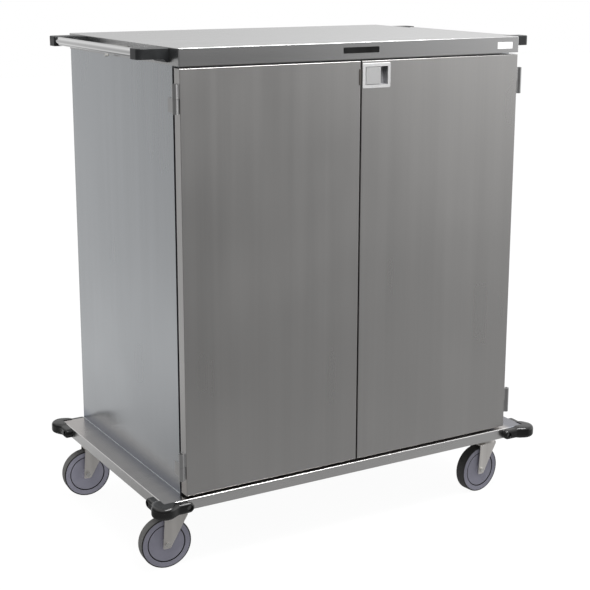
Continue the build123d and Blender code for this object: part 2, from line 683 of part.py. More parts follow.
def build_front_plates():
    """Blank black plate in the middle of the front lip and a blank white one near its end."""
    with BuildPart() as nameplate:
        block((-60, 60), (FRONT - 1.5, FRONT), (1469, 1486))
        fillet(nameplate.edges().filter_by(Axis.Y), 2)
    nameplate.part.label = "nameplate"
    export_step(nameplate.part, "parts/nameplate.step")
    with BuildPart() as label_plate:
        block((493, 550), (FRONT - 0.8, FRONT), (1464.5, 1484.5))
        fillet(label_plate.edges().filter_by(Axis.Y), 1)
    label_plate.part.label = "label_plate"
    export_step(label_plate.part, "parts/label_plate.step")


def build_hold_open_clips():
    """Spring strips on the end lips whose tips stand just above an opened door's edge."""
    lip = BODY_WIDTH / 2
    start = FRONT + 346.0
    end = FRONT + 470.0
    with BuildPart() as hold_open_clips:
        for side in SIDES.values():
            block(across(side, lip, lip + 1.5), (start, end), (1468, 1484))
            block(across(side, lip, lip + 12), (start, end), (1482.5, 1484))
            block(across(side, lip + 10.5, lip + 12), (start, end), (1478, 1484))
            block(across(side, lip, lip + 14), (end - 26, end), (1468, 1469.5))
            block(across(side, lip + 12.5, lip + 14), (end - 26, end), (1452, 1469.5))
            block(across(side, lip + 12.5, lip + 22), (end - 18, end - 8), (1450, 1452))
    hold_open_clips.part.label = "hold_open_clips"
    export_step(hold_open_clips.part, "parts/hold_open_clips.step")


# ---------------------------------------------------------------- hinges and catches
KNUCKLE_RADIUS = 8.0
PIN_RADIUS = 4.0
HALF_HINGE = HINGE_HEIGHT / 2
KNUCKLE_GAP = 0.5


def build_cabinet_hinge_leaves():
    """Lower knuckles welded to the cabinet's side panels, with their fixed pins."""
    with BuildPart() as cabinet_hinge_leaves:
        for side in SIDES.values():
            for middle in HINGE_CENTRES:
                low = (middle - HALF_HINGE, middle - KNUCKLE_GAP / 2)
                rod([(side * PIVOT_X, PIVOT_Y, sum(low) / 2)], KNUCKLE_RADIUS, low[1] - low[0], "z")
                block(across(side, HALF_BODY + 2.5, HALF_BODY + 7), (PIVOT_Y - 4, PIVOT_Y + 6), low)
                block(across(side, HALF_BODY + 1.5, HALF_BODY + 3.5), (PIVOT_Y - 4, STOP_FACE + 24), low)
                block(across(side, HALF_BODY, HALF_BODY + 1.5), (STOP_FACE + 2, STOP_FACE + 24), low)
        for side in SIDES.values():
            for middle in HINGE_CENTRES:
                pivot = (side * PIVOT_X, PIVOT_Y, middle - HALF_HINGE / 2)
                rod([pivot], PIN_RADIUS, HALF_HINGE + 4, "z", Mode.SUBTRACT)
    pins = []
    for side in SIDES.values():
        for middle in HINGE_CENTRES:
            pin = Cylinder(PIN_RADIUS, 2 * HALF_HINGE - 6, mode=Mode.PRIVATE)
            pins.append(Pos(side * PIVOT_X, PIVOT_Y, middle - 3) * pin)
    leaves = Compound(children=[*cabinet_hinge_leaves.part.solids(), *pins])
    leaves.label = "cabinet_hinge_leaves"
    export_step(leaves, "parts/cabinet_hinge_leaves.step")


def build_door_hinge_leaves(name, side):
    """Upper knuckles on one door's hinge edge, bored through for the pins."""
    with BuildPart() as door_hinge_leaves:
        for middle in HINGE_CENTRES:
            high = (middle + KNUCKLE_GAP / 2, middle + HALF_HINGE)
            knuckle = (side * PIVOT_X, PIVOT_Y, sum(high) / 2)
            rod([knuckle], KNUCKLE_RADIUS, high[1] - high[0], "z")
            block(across(side, DOOR_EDGE + 1, DOOR_EDGE + 7), (PIVOT_Y - 4, PIVOT_Y + 6), high)
            block(across(side, DOOR_EDGE, DOOR_EDGE + 2.5), (PIVOT_Y - 4, PIVOT_Y + 24), high)
            rod([knuckle], PIN_RADIUS + RUNNING_GAP, HINGE_HEIGHT, "z", Mode.SUBTRACT)
    door_hinge_leaves.part.label = f"{name}_door_hinge_leaves"
    export_step(door_hinge_leaves.part, f"parts/{name}_door_hinge_leaves.step")


CATCH_X = 62.0


def build_magnetic_catches():
    """Magnets under the header and on the floor, two for each door."""
    depth = (DOOR_BACK + 3, STOP_FACE + 18)
    with BuildPart() as magnetic_catches:
        for side in SIDES.values():
            block(across(side, CATCH_X - 24, CATCH_X + 24), depth, (HEADER_BOTTOM - 16, HEADER_BOTTOM))
            block(across(side, CATCH_X - 24, CATCH_X + 24), depth, (FLOOR_TOP, FLOOR_TOP + 16))
    magnetic_catches.part.label = "magnetic_catches"
    export_step(magnetic_catches.part, "parts/magnetic_catches.step")


def build_strike_plates(name, side):
    """Small steel plates on the back of one door, opposite its magnets."""
    with BuildPart() as strike_plates:
        for z in (HEADER_BOTTOM - 8, FLOOR_TOP + 8):
            block(across(side, CATCH_X - 20, CATCH_X + 20), (DOOR_BACK, DOOR_BACK + 1.5), (z - 7, z + 7))
    strike_plates.part.label = f"{name}_door_strike_plates"
    export_step(strike_plates.part, f"parts/{name}_door_strike_plates.step")


# ---------------------------------------------------------------- doors and latch
LATCH_X = (4.0, 100.0)
LATCH_Z = (1367.0, 1439.0)
RECESS_X = (13.0, 91.0)
RECESS_Z = (1377.0, 1429.0)
RECESS_DEPTH = 20.0
BEZEL_PROUD = 2.0
CUP_WALL = 1.5
PADDLE_X = (16.5, 67.0)
PADDLE_PIN = (18.5, FRONT + 4.0)
PADDLE_PIN_RADIUS = 2.0
PADDLE_ARM = 23.5
BOLT_X = (0.6, 60.0)
BOLT_Y = (-366.0, -361.0)
BOLT_Z = (1395.0, 1411.0)
KEEPER_Z = (1378.0, 1423.0)
KEEPER_SHEET = 1.5


def cut_bolt_slot(side):
    """Opening in a door's free edge that the latch bolt passes through."""
    heights = (BOLT_Z[0] - 1.5, BOLT_Z[1] + 1.5)
    block(across(side, 2, 7), (BOLT_Y[0] - 1.5, BOLT_Y[1] + 1.5), heights, Mode.SUBTRACT)


def build_door_shell(name, side):
    """Outer pan of one door; the right-hand one is cut out for the latch cup."""
    free_edge = DOOR_SEAM / 2
    with BuildPart() as shell:
        block(across(side, free_edge, DOOR_EDGE), (FRONT, DOOR_BACK), (DOOR_BOTTOM, DOOR_TOP))
        fillet(shell.faces().sort_by(Axis.Y)[0].edges(), 1.5)
        hollow = across(side, free_edge + SHEET, DOOR_EDGE - SHEET)
        block(hollow, (FRONT + SHEET, DOOR_BACK), (DOOR_BOTTOM + SHEET, DOOR_TOP - SHEET), Mode.SUBTRACT)
        cut_bolt_slot(side)
        if side > 0:
            cutout_x = (RECESS_X[0] - 2, RECESS_X[1] + 2)
            cutout_z = (RECESS_Z[0] - 2, RECESS_Z[1] + 2)
            block(cutout_x, (FRONT - 1, FRONT + 5), cutout_z, Mode.SUBTRACT)
    shell.part.label = f"{name}_door_shell"
    export_step(shell.part, f"parts/{name}_door_shell.step")


def build_door_liner(name, side):
    """Inner pan of one door, nested in the shell's folded edges."""
    low = DOOR_BOTTOM + SHEET
    high = DOOR_TOP - SHEET
    free_edge = DOOR_SEAM / 2 + SHEET
    hinge_edge = DOOR_EDGE - SHEET
    with BuildPart() as liner:
        block(across(side, free_edge, hinge_edge), (DOOR_BACK - 12, DOOR_BACK), (low, high))
        hollow = across(side, free_edge + SHEET, hinge_edge - SHEET)
        block(hollow, (DOOR_BACK - 12, DOOR_BACK - SHEET), (low + SHEET, high - SHEET), Mode.SUBTRACT)
        cut_bolt_slot(side)
    liner.part.label = f"{name}_door_liner"
    export_step(liner.part, f"parts/{name}_door_liner.step")


def build_latch_keeper():
    """Angle plate on the left door's free edge with a hole for the bolt's nose."""
    edge = -DOOR_SEAM / 2
    tip = edge + KEEPER_SHEET
    with BuildPart() as latch_keeper:
        block((edge, tip), (FRONT - KEEPER_SHEET, DOOR_BACK - 2), KEEPER_Z)
        block((edge - 5, tip), (FRONT - KEEPER_SHEET, FRONT), KEEPER_Z)
        hole_z = (BOLT_Z[0] - 1, BOLT_Z[1] + 1)
        block((edge - 1, tip + 1), (BOLT_Y[0] - 1, BOLT_Y[1] + 1), hole_z, Mode.SUBTRACT)
    latch_keeper.part.label = "latch_keeper"
    export_step(latch_keeper.part, "parts/latch_keeper.step")


def build_latch_housing():
    """Bezel and cup of the paddle latch, bolt rails on the cup's back, and the paddle's pin."""
    cup_x = (RECESS_X[0] - CUP_WALL, RECESS_X[1] + CUP_WALL)
    cup_z = (RECESS_Z[0] - CUP_WALL, RECESS_Z[1] + CUP_WALL)
    cup_back = FRONT + RECESS_DEPTH
    pin_z = (cup_z[0] + cup_z[1]) / 2
    with BuildPart() as latch_housing:
        block(LATCH_X, (FRONT - BEZEL_PROUD, FRONT), LATCH_Z)
        fillet(latch_housing.edges().filter_by(Axis.Y), 4)
        fillet(latch_housing.faces().sort_by(Axis.Y)[0].edges(), 1)
        block(cup_x, (FRONT, cup_back + CUP_WALL), cup_z)
        block(RECESS_X, (FRONT - 5, cup_back), RECESS_Z, Mode.SUBTRACT)
        block((14, 36), (cup_back - 1, cup_back + 3), (1398, 1408), Mode.SUBTRACT)
        for z in ((BOLT_Z[1] + 0.4, BOLT_Z[1] + 4), (BOLT_Z[0] - 4, BOLT_Z[0] - 0.4)):
            block((30, 58), (cup_back + CUP_WALL, BOLT_Y[1] + 2), z)
        rod([(*PADDLE_PIN, pin_z)], PADDLE_PIN_RADIUS, 80, "z", Mode.SUBTRACT)
    pin = Cylinder(PADDLE_PIN_RADIUS, cup_z[1] - cup_z[0], mode=Mode.PRIVATE)
    housing = Compound(children=[*latch_housing.part.solids(), Pos(*PADDLE_PIN, pin_z) * pin])
    housing.label = "latch_housing"
    export_step(housing, "parts/latch_housing.step")


def build_latch_paddle():
    """Square pull plate on a vertical pin, with an arm that draws the bolt back."""
    face = FRONT - 1
    heights = (RECESS_Z[0] + 1.5, RECESS_Z[1] - 1.5)
    middle = sum(heights) / 2
    with BuildPart() as latch_paddle:
        block(PADDLE_X, (face, face + 2.5), heights)
        block((PADDLE_X[1] - 2.5, PADDLE_X[1]), (face, face + 9), heights)
        fillet(latch_paddle.faces().sort_by(Axis.Y)[0].edges(), 0.8)
        rod([(*PADDLE_PIN, middle)], 2 * PADDLE_PIN_RADIUS, heights[1] - heights[0], "z")
        arm_x = (PADDLE_PIN[0] - 2, PADDLE_PIN[0] + 2)
        arm_y = (PADDLE_PIN[1], PADDLE_PIN[1] + PADDLE_ARM)
        block(arm_x, arm_y, (middle - 3, middle + 3))
        rod([(*PADDLE_PIN, middle)], PADDLE_PIN_RADIUS + RUNNING_GAP, 80, "z", Mode.SUBTRACT)
    latch_paddle.part.label = "latch_paddle"
    export_step(latch_paddle.part, "parts/latch_paddle.step")


def build_latch_bolt():
    """Flat bolt with a bevelled nose and a window that the paddle's arm works in."""
    nose = BOLT_X[0]
    with BuildPart() as latch_bolt:
        block(BOLT_X, BOLT_Y, BOLT_Z)
        nose_edge = latch_bolt.edges().filter_by(Axis.Z).group_by(Axis.X)[0].sort_by(Axis.Y)[-1]
        chamfer(nose_edge, 3.5)
        window = (PADDLE_PIN[0] - 5, PADDLE_PIN[0] + 5)
        block(window, (BOLT_Y[0] - 1, BOLT_Y[1] + 1), (1398, 1408), Mode.SUBTRACT)
    latch_bolt.part.label = "latch_bolt"
    export_step(latch_bolt.part, "parts/latch_bolt.step")


# ---------------------------------------------------------------- build every piece
build_base_platform()
build_base_channels()
for corner_name, (corner_x, corner_y, caster_turn) in CORNERS.items():
    build_corner_bumper(corner_name, corner_x, corner_y)
    build_caster(corner_name, corner_x, corner_y, caster_turn)
build_bumper_bolts()
build_caster_top_plates()
build_caster_dust_seals()
build_caster_plate_bolts()
build_side_panels()
build_back_panel()
build_cabinet_floor()
build_header_channel()
build_top_panel()
build_shelf_pilasters()
build_shelf_clips()
build_shelves()
build_handle_brackets()
build_handle_tubes()
build_handle_screws()
build_front_plates()
build_hold_open_clips()
build_cabinet_hinge_leaves()
build_magnetic_catches()
for side_name, side_sign in SIDES.items():
    build_door_shell(side_name, side_sign)
    build_door_liner(side_name, side_sign)
    build_door_hinge_leaves(side_name, side_sign)
    build_strike_plates(side_name, side_sign)
build_latch_keeper()
build_latch_housing()
build_latch_paddle()
build_latch_bolt()
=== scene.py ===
"""Looks of the enclosed two-door stainless steel cart: finishes, detailed pieces, studio and camera.

Metres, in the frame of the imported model: the origin is on the floor under the middle of the
base, +Z is up and the doors face -Y.
"""
import json
from math import cos, radians, sin

import bpy
import numpy as np
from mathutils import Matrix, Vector


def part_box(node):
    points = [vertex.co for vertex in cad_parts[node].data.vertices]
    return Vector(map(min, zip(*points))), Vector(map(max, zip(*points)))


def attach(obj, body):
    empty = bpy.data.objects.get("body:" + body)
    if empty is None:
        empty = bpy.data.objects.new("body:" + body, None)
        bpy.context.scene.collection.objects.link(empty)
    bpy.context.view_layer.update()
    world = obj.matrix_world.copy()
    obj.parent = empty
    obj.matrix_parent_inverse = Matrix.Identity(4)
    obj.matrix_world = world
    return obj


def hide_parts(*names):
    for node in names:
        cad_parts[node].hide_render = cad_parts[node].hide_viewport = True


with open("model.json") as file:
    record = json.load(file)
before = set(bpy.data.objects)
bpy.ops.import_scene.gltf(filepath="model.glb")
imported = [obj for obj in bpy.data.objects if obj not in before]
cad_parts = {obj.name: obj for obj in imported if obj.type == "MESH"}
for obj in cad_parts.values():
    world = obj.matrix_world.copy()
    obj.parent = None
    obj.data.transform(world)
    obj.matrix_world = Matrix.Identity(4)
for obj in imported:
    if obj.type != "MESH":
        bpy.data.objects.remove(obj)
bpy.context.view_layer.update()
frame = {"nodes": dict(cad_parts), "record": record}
nodes = frame["nodes"]

CORNERS = ("front_left", "front_right", "rear_left", "rear_right")
SIDES = ("left", "right")


# ---------------------------------------------------------------- shader helpers
def add(tree, kind, inputs=None, **settings):
    """A new node with its settings; each input takes a value or another node's output."""
    node = tree.nodes.new("ShaderNode" + kind)
    for key, value in settings.items():
        setattr(node, key, value)
    for key, source in (inputs or {}).items():
        if isinstance(source, bpy.types.NodeSocket):
            tree.links.new(source, node.inputs[key])
        else:
            node.inputs[key].default_value = source
    return node


def noise(tree, stretch, detail=3.0, rough=0.5):
    """Noise over the object, with so many bumps to the metre along X, Y and Z."""
    place = add(tree, "TexCoord").outputs["Object"]
    stretched = add(tree, "Mapping", {"Vector": place, "Scale": stretch}).outputs["Vector"]
    inputs = {"Vector": stretched, "Scale": 1.0, "Detail": detail, "Roughness": rough}
    return add(tree, "TexNoise", inputs).outputs["Fac"]


def spread(tree, value, low, high, start=0.35, end=0.65):
    """A noise value spread over a range of numbers."""
    inputs = {"Value": value, "From Min": start, "From Max": end, "To Min": low, "To Max": high}
    return add(tree, "MapRange", inputs).outputs["Result"]


def smooth_step(tree, value, start, end):
    """0 below start, 1 above end, and a smooth rise between them."""
    inputs = {"Value": value, "From Min": start, "From Max": end}
    return add(tree, "MapRange", inputs, interpolation_type="SMOOTHSTEP").outputs["Result"]


def mix_values(tree, share, first, second):
    """The first number where share is 0, the second where it is 1."""
    return add(tree, "Mix", {0: share, 2: first, 3: second}).outputs[0]


def mix_colours(tree, share, first, second):
    """The first colour where share is 0, the second where it is 1."""
    node = add(tree, "Mix", data_type="RGBA")
    sockets = (node.inputs[0], node.inputs[6], node.inputs[7])
    for socket, source in zip(sockets, (share, first, second)):
        if isinstance(source, bpy.types.NodeSocket):
            tree.links.new(source, socket)
        else:
            socket.default_value = source
    return node.outputs[2]


def bump(tree, height, strength, depth):
    """Relief of a given depth in metres."""
    inputs = {"Height": height, "Strength": strength, "Distance": depth}
    return add(tree, "Bump", inputs).outputs["Normal"]


def new_material(name):
    """A material, its node tree and its principled shader."""
    material = bpy.data.materials.new(name)
    material.use_nodes = True
    return material, material.node_tree, material.node_tree.nodes["Principled BSDF"]


def feed(tree, node, **sources):
    """Sets or links a shader's inputs, named with underscores for spaces."""
    for key, source in sources.items():
        socket = node.inputs[key.replace("_", " ")]
        if isinstance(source, bpy.types.NodeSocket):
            tree.links.new(source, socket)
        else:
            socket.default_value = source


def grey(level, warmth=0.0):
    """A grey with a little more red and less blue for warmth above 0."""
    return (level * (1 + warmth), level, level * (1 - warmth), 1.0)


# ---------------------------------------------------------------- finishes
FINE = 180.0  # brush lines to the metre
BANDS = 24.0  # wide faint streaks to the metre
LENGTHWISE = 0.8  # changes to the metre along the brushing
DRAWN = 1400.0  # drawing lines to the metre on tube
GROOVE_RADII = (0.0548, 0.0577)  # the ring moulded into both faces of a wheel
GROOVE_EDGE = 0.0004  # over which the painted shade in the groove fades out
FACE_COLOURS = ((0.172, 0.170, 0.212), (0.195, 0.192, 0.236))  # of a wheel face, darker and lighter


def along_grain(frequency, axis):
    """Noise scale that is stretched out along the brushing."""
    return tuple(LENGTHWISE if name == axis else frequency for name in "xyz")


def brushed_steel(name, level, axis, rough=0.3, streaks=0.02, warmth=0.0):
    """Sheet stainless brushed along an axis, with faint streaks, smudges and wiped patches."""
    material, tree, shader = new_material(name)
    fine = noise(tree, along_grain(FINE, axis), 1.0, 0.5)
    bands = noise(tree, along_grain(BANDS, axis), 2.0, 0.5)
    smudges = noise(tree, (2.2, 2.2, 2.2), 2.0, 0.5)
    dark = grey(level * (1 - streaks), warmth)
    light = grey(level * (1 + streaks), warmth)
    banded = mix_colours(tree, spread(tree, bands, 0.0, 1.0), dark, light)
    colour = mix_colours(tree, spread(tree, fine, 0.0, 0.05), banded, grey(level * 0.75, warmth))
    rough_bands = spread(tree, bands, rough - 0.012, rough + 0.012)
    wiped = spread(tree, smudges, -0.02, 0.03)
    rough_all = add(tree, "Math", {0: rough_bands, 1: wiped}, operation="ADD").outputs[0]
    feed(tree, shader, Base_Color=colour, Metallic=1.0, Roughness=rough_all)
    return material


def tinted_where(material, share, tint):
    """Multiplies a finish's colour by a tint where share is 1."""
    tree = material.node_tree
    shader = tree.nodes["Principled BSDF"]
    colour = shader.inputs["Base Color"].links[0].from_socket
    tinted = add(tree, "Mix", {0: 1.0, 7: (*tint, 1.0)}, data_type="RGBA", blend_type="MULTIPLY")
    tree.links.new(colour, tinted.inputs[6])
    tree.links.new(mix_colours(tree, share, colour, tinted.outputs[2]), shader.inputs["Base Color"])


def shaded_on_top(material, tint):
    """Painted shade: darkens the faces that look up, for the dimmer reflection they show than the
    upright faces.
    """
    tree = material.node_tree
    normal = add(tree, "TexCoord").outputs["Normal"]
    up = add(tree, "SeparateXYZ", {0: normal}).outputs["Z"]
    tinted_where(material, smooth_step(tree, up, 0.80, 0.98), tint)


def shaded_along(material, axis, start, end, tint):
    """Painted shade and reflection: darkens a finish beyond a place on one axis, as along a wall's
    foot or inside a cup.
    """
    tree = material.node_tree
    place = add(tree, "TexCoord").outputs["Object"]
    along = add(tree, "SeparateXYZ", {0: place}).outputs[axis]
    tinted_where(material, smooth_step(tree, along, start, end), tint)


def polished_steel(name, level, axis):
    """Bright drawn tube with fine lines along it."""
    material, tree, shader = new_material(name)
    lines = noise(tree, along_grain(DRAWN, axis), 2.0)
    cloud = noise(tree, (9.0, 9.0, 9.0), 4.0)
    colour = mix_colours(tree, spread(tree, cloud, 0.0, 1.0), grey(level * 0.96), grey(level))
    feed(tree, shader, Base_Color=colour, Metallic=1.0, Roughness=spread(tree, lines, 0.05, 0.10),
         Normal=bump(tree, lines, 0.08, 0.0001))
    return material


def plated_steel(name, level, warmth, rough):
    """Zinc plated steel with the mottling of the bath."""
    material, tree, shader = new_material(name)
    mottle = noise(tree, (160.0, 160.0, 160.0), 4.0)
    cloud = noise(tree, (14.0, 14.0, 14.0), 3.0)
    dark, light = grey(level * 0.85, warmth), grey(level, warmth)
    yellowish = (level, level * 0.96, level * 0.8, 1.0)
    base = mix_colours(tree, spread(tree, mottle, 0.0, 1.0), dark, light)
    colour = mix_colours(tree, spread(tree, cloud, 0.0, 0.35), base, yellowish)
    feed(tree, shader, Base_Color=colour, Metallic=1.0,
         Roughness=spread(tree, mottle, rough, rough + 0.12),
         Normal=bump(tree, mottle, 0.1, 0.0003))
    return material


def cast_metal(name, level, rough):
    """Satin casting with a fine peened grain."""
    material, tree, shader = new_material(name)
    grain = noise(tree, (650.0, 650.0, 650.0), 2.0)
    colour = mix_colours(tree, spread(tree, grain, 0.0, 1.0), grey(level * 0.82), grey(level * 1.1))
    feed(tree, shader, Base_Color=colour, Metallic=1.0,
         Roughness=spread(tree, grain, rough, rough + 0.1),
         Normal=bump(tree, grain, 0.25, 0.0002))
    return material


def moulded(name, first, second, rough, pores=900.0, depth=0.00012, gloss=0.5, clouds=22.0):
    """Moulded plastic or rubber: fine pores, a cloudy tint and an uneven sheen."""
    material, tree, shader = new_material(name)
    grain = noise(tree, (pores, pores, pores), 2.0)
    cloud = noise(tree, (clouds, clouds, clouds), 5.0, 0.6)
    colour = mix_colours(tree, spread(tree, cloud, 0.0, 1.0), first, second)
    feed(tree, shader, Base_Color=colour, Roughness=spread(tree, cloud, rough - 0.05, rough + 0.06),
         Normal=bump(tree, grain, 0.35, depth))
    shader.inputs["Specular IOR Level"].default_value = gloss
    return material


def tread_wear_and_painted_sheen(name, axle, rolling_grey):
    """Black rubber at the sides, grey where the wheel rolls: partly scuffed dust, partly painted
    sheen, its level given per wheel with painted shade.
    """
    material, tree, shader = new_material(name)
    grain = noise(tree, (500.0, 500.0, 500.0), 3.0)
    scuffs = noise(tree, (70.0, 70.0, 70.0), 5.0, 0.65)
    normal = add(tree, "TexCoord").outputs["Normal"]
    sideways = add(tree, "VectorMath", {0: normal, 1: axle}, operation="DOT_PRODUCT").outputs["Value"]
    facing = add(tree, "Math", {0: sideways}, operation="ABSOLUTE").outputs[0]
    rolling = spread(tree, facing, 1.0, 0.0, 0.25, 0.75)
    # painted sheen and shade with real scuffing: the rolling face's grey, its level given per wheel
    dark, light = grey(rolling_grey * 0.8, 0.02), grey(rolling_grey * 1.15, 0.02)
    rolling_colour = mix_colours(tree, spread(tree, scuffs, 0.0, 1.0), dark, light)
    colour = mix_colours(tree, rolling, grey(0.012), rolling_colour)
    feed(tree, shader, Base_Color=colour, Roughness=spread(tree, scuffs, 0.5, 0.65),
         Normal=bump(tree, grain, 0.3, 0.0002))
    return material


def wheel_face(name, hub, axle, painted_light):
    """Satin grey moulding with painted shade, a black ring, in its groove."""
    material, tree, shader = new_material(name)
    cloud = noise(tree, (26.0, 26.0, 26.0), 5.0, 0.6)
    grain = noise(tree, (900.0, 900.0, 900.0), 2.0)
    place = add(tree, "TexCoord").outputs["Object"]
    arm = add(tree, "VectorMath", {0: place, 1: hub}, operation="SUBTRACT").outputs[0]
    across = add(tree, "VectorMath", {0: arm, 1: axle}, operation="CROSS_PRODUCT").outputs[0]
    radius = add(tree, "VectorMath", {0: across}, operation="LENGTH").outputs["Value"]
    inside = smooth_step(tree, radius, GROOVE_RADII[0] - GROOVE_EDGE, GROOVE_RADII[0])
    outside = smooth_step(tree, radius, GROOVE_RADII[1], GROOVE_RADII[1] + GROOVE_EDGE)
    # painted shade: black between the groove's two radii
    ring = add(tree, "Math", {0: inside, 1: outside}, operation="SUBTRACT").outputs[0]
    # painted light: each wheel's face colour scaled per wheel
    dark, light = [(*(part * painted_light for part in colour), 1.0) for colour in FACE_COLOURS]
    face = mix_colours(tree, spread(tree, cloud, 0.0, 1.0), dark, light)
    colour = mix_colours(tree, ring, face, grey(0.010))
    feed(tree, shader, Base_Color=colour, Roughness=spread(tree, cloud, 0.34, 0.44),
         Normal=bump(tree, grain, 0.2, 0.0001))
    return material


# Per wheel: the grey of its rolling face, partly scuffed dust and partly painted sheen, with painted
# shade keeping the front right one near black under the base; and painted light that makes the faces
# of the rear wheels paler
ROLLING_GREY = {"front_left": 0.115, "front_right": 0.030, "rear_left": 0.115, "rear_right": 0.080}
FACE_PAINTED_LIGHT = {"front_left": 1.0, "front_right": 1.0, "rear_left": 1.30, "rear_right": 1.15}

# Brushed sheet: grey level, direction, roughness, streaks, warmth. Plating: grey level, warmth,
# roughness. Castings: grey level, roughness.
finishes = {
    "door": brushed_steel("brushed_door_steel", 0.60, "z", 0.30, 0.010, 0.016),
    "side": brushed_steel("brushed_side_steel", 0.60, "z", 0.25, 0.020, -0.035),
    "top": brushed_steel("brushed_top_steel", 0.58, "x", 0.24, 0.012, 0.0),
    "base": brushed_steel("brushed_base_steel", 0.80, "x", 0.25, 0.020, 0.008),
    "inner": brushed_steel("plain_inner_steel", 0.55, "z", 0.38, 0.03, 0.0),
    "fork": brushed_steel("brushed_fork_steel", 0.85, "z", 0.42, 0.12, 0.035),
    "bead": brushed_steel("bright_bead_steel", 0.62, "y", 0.36, 0.03, -0.05),
    "hinge": brushed_steel("brushed_hinge_steel", 0.54, "z", 0.30, 0.03, 0.0),
    "latch": cast_metal("satin_latch_metal", 0.72, 0.58),
    "paddle": cast_metal("grained_paddle_metal", 0.58, 0.56),
    "keeper": brushed_steel("dark_keeper_steel", 0.16, "z", 0.42, 0.10, 0.08),
    "tube": polished_steel("polished_tube_steel", 0.70, "y"),
    "zinc": plated_steel("zinc_plated_steel", 0.62, 0.01, 0.30),
    "bolt": plated_steel("bright_bolt_steel", 0.75, 0.0, 0.18),
    "axle": plated_steel("axle_bolt_steel", 0.90, 0.0, 0.12),
    # painted shade: the bumper bolts dark, as they sit in shade inside their recesses
    "bolt_in_shade": plated_steel("bolt_steel_in_painted_shade", 0.20, 0.0, 0.20),
    "bumper": moulded("black_bumper_rubber", grey(0.005), grey(0.008), 0.13, depth=0.00002),
    "bracket": moulded("charcoal_bracket_plastic", grey(0.014, -0.05), grey(0.020, -0.05), 0.36,
                       gloss=0.35),
    "clip": plated_steel("bright_clip_steel", 0.88, 0.0, 0.12),
    "seal": moulded("black_seal_rubber", grey(0.015), grey(0.025), 0.50),
    "nameplate": moulded("black_nameplate", grey(0.004), grey(0.007), 0.35, gloss=0.25),
    "label": moulded("white_label", grey(0.62), grey(0.68), 0.45),
    "magnet": moulded("brown_magnet_plastic", grey(0.06, 0.1), grey(0.09, 0.1), 0.45),
}


def wheel_axis(corner):
    """Where a wheel's hub is and the direction of its axle."""
    joints = frame["record"]["behaviour"]["joints"]
    spin = next(joint for joint in joints if joint["name"] == f"wheel_{corner}_spin")
    return tuple(spin["pos_m"]), tuple(spin["axis"])


def paint_shade_and_reflections():
    """Painted shade and reflection: the base's darker top, a blue-grey reflection on its right end,
    the dark reflection of the base along the walls' foot and shade inside the latch's cup.
    """
    right_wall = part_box("right_side_panel")[1][0]
    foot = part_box("base_platform")[1][2]
    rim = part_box("latch_housing")[0][1]
    # painted shade: the base's top darker than its lip, for its dimmer reflection
    shaded_on_top(finishes["base"], (0.62, 0.60, 0.59))
    # painted reflection: the base beyond the right wall darker and blue-grey
    shaded_along(finishes["base"], "X", right_wall, right_wall + 0.030, (0.52, 0.55, 0.62))
    # painted reflection: the walls darker and bluer along their foot, where they mirror the base
    shaded_along(finishes["side"], "Z", foot + 0.050, foot + 0.005, (0.55, 0.58, 0.66))
    # painted shade: the latch darker deeper inside its cup
    shaded_along(finishes["latch"], "Y", rim + 0.002, rim + 0.008, (0.62, 0.62, 0.64))


paint_shade_and_reflections()

FINISH_OF = {
    "base_platform": "base",
    "base_channels": "inner",
    "bumper_bolts": "bolt_in_shade",
    "caster_top_plates": "zinc",
    "caster_dust_seals": "seal",
    "caster_plate_bolts": "bolt",
    "left_side_panel": "side",
    "right_side_panel": "side",
    "back_panel": "side",
    "cabinet_floor": "inner",
    "header_channel": "inner",
    "top_panel": "top",
    "shelf_pilasters": "zinc",
    "shelf_clips": "zinc",
    "shelf_lower": "inner",
    "shelf_middle": "inner",
    "shelf_upper": "inner",
    "handle_screws": "bolt",
    "nameplate": "nameplate",
    "label_plate": "label",
    "hold_open_clips": "clip",
    "cabinet_hinge_leaves": "hinge",
    "magnetic_catches": "magnet",
    "latch_keeper": "keeper",
    "latch_housing": "latch",
    "latch_paddle": "paddle",
    "latch_bolt": "hinge",
}
for side in SIDES:
    FINISH_OF[f"handle_brackets_{side}"] = "bracket"
    FINISH_OF[f"handle_tube_{side}"] = "tube"
    FINISH_OF[f"{side}_door_shell"] = "door"
    FINISH_OF[f"{side}_door_liner"] = "inner"
    FINISH_OF[f"{side}_door_hinge_leaves"] = "hinge"
    FINISH_OF[f"{side}_door_strike_plates"] = "zinc"
for corner in CORNERS:
    FINISH_OF[f"bumper_{corner}"] = "bumper"
    FINISH_OF[f"fork_{corner}"] = "fork"
    FINISH_OF[f"axle_{corner}"] = "axle"
    FINISH_OF[f"wheel_core_{corner}"] = f"wheel_{corner}"
    FINISH_OF[f"tread_{corner}"] = f"tread_{corner}"
    hub, axle = wheel_axis(corner)
    finishes[f"wheel_{corner}"] = wheel_face(f"grey_wheel_{corner}", hub, axle, FACE_PAINTED_LIGHT[corner])
    finishes[f"tread_{corner}"] = tread_wear_and_painted_sheen(f"rubber_tread_{corner}", axle, ROLLING_GREY[corner])

for name, node in nodes.items():
    for slot in node.material_slots:
        slot.material = finishes[FINISH_OF[name]]


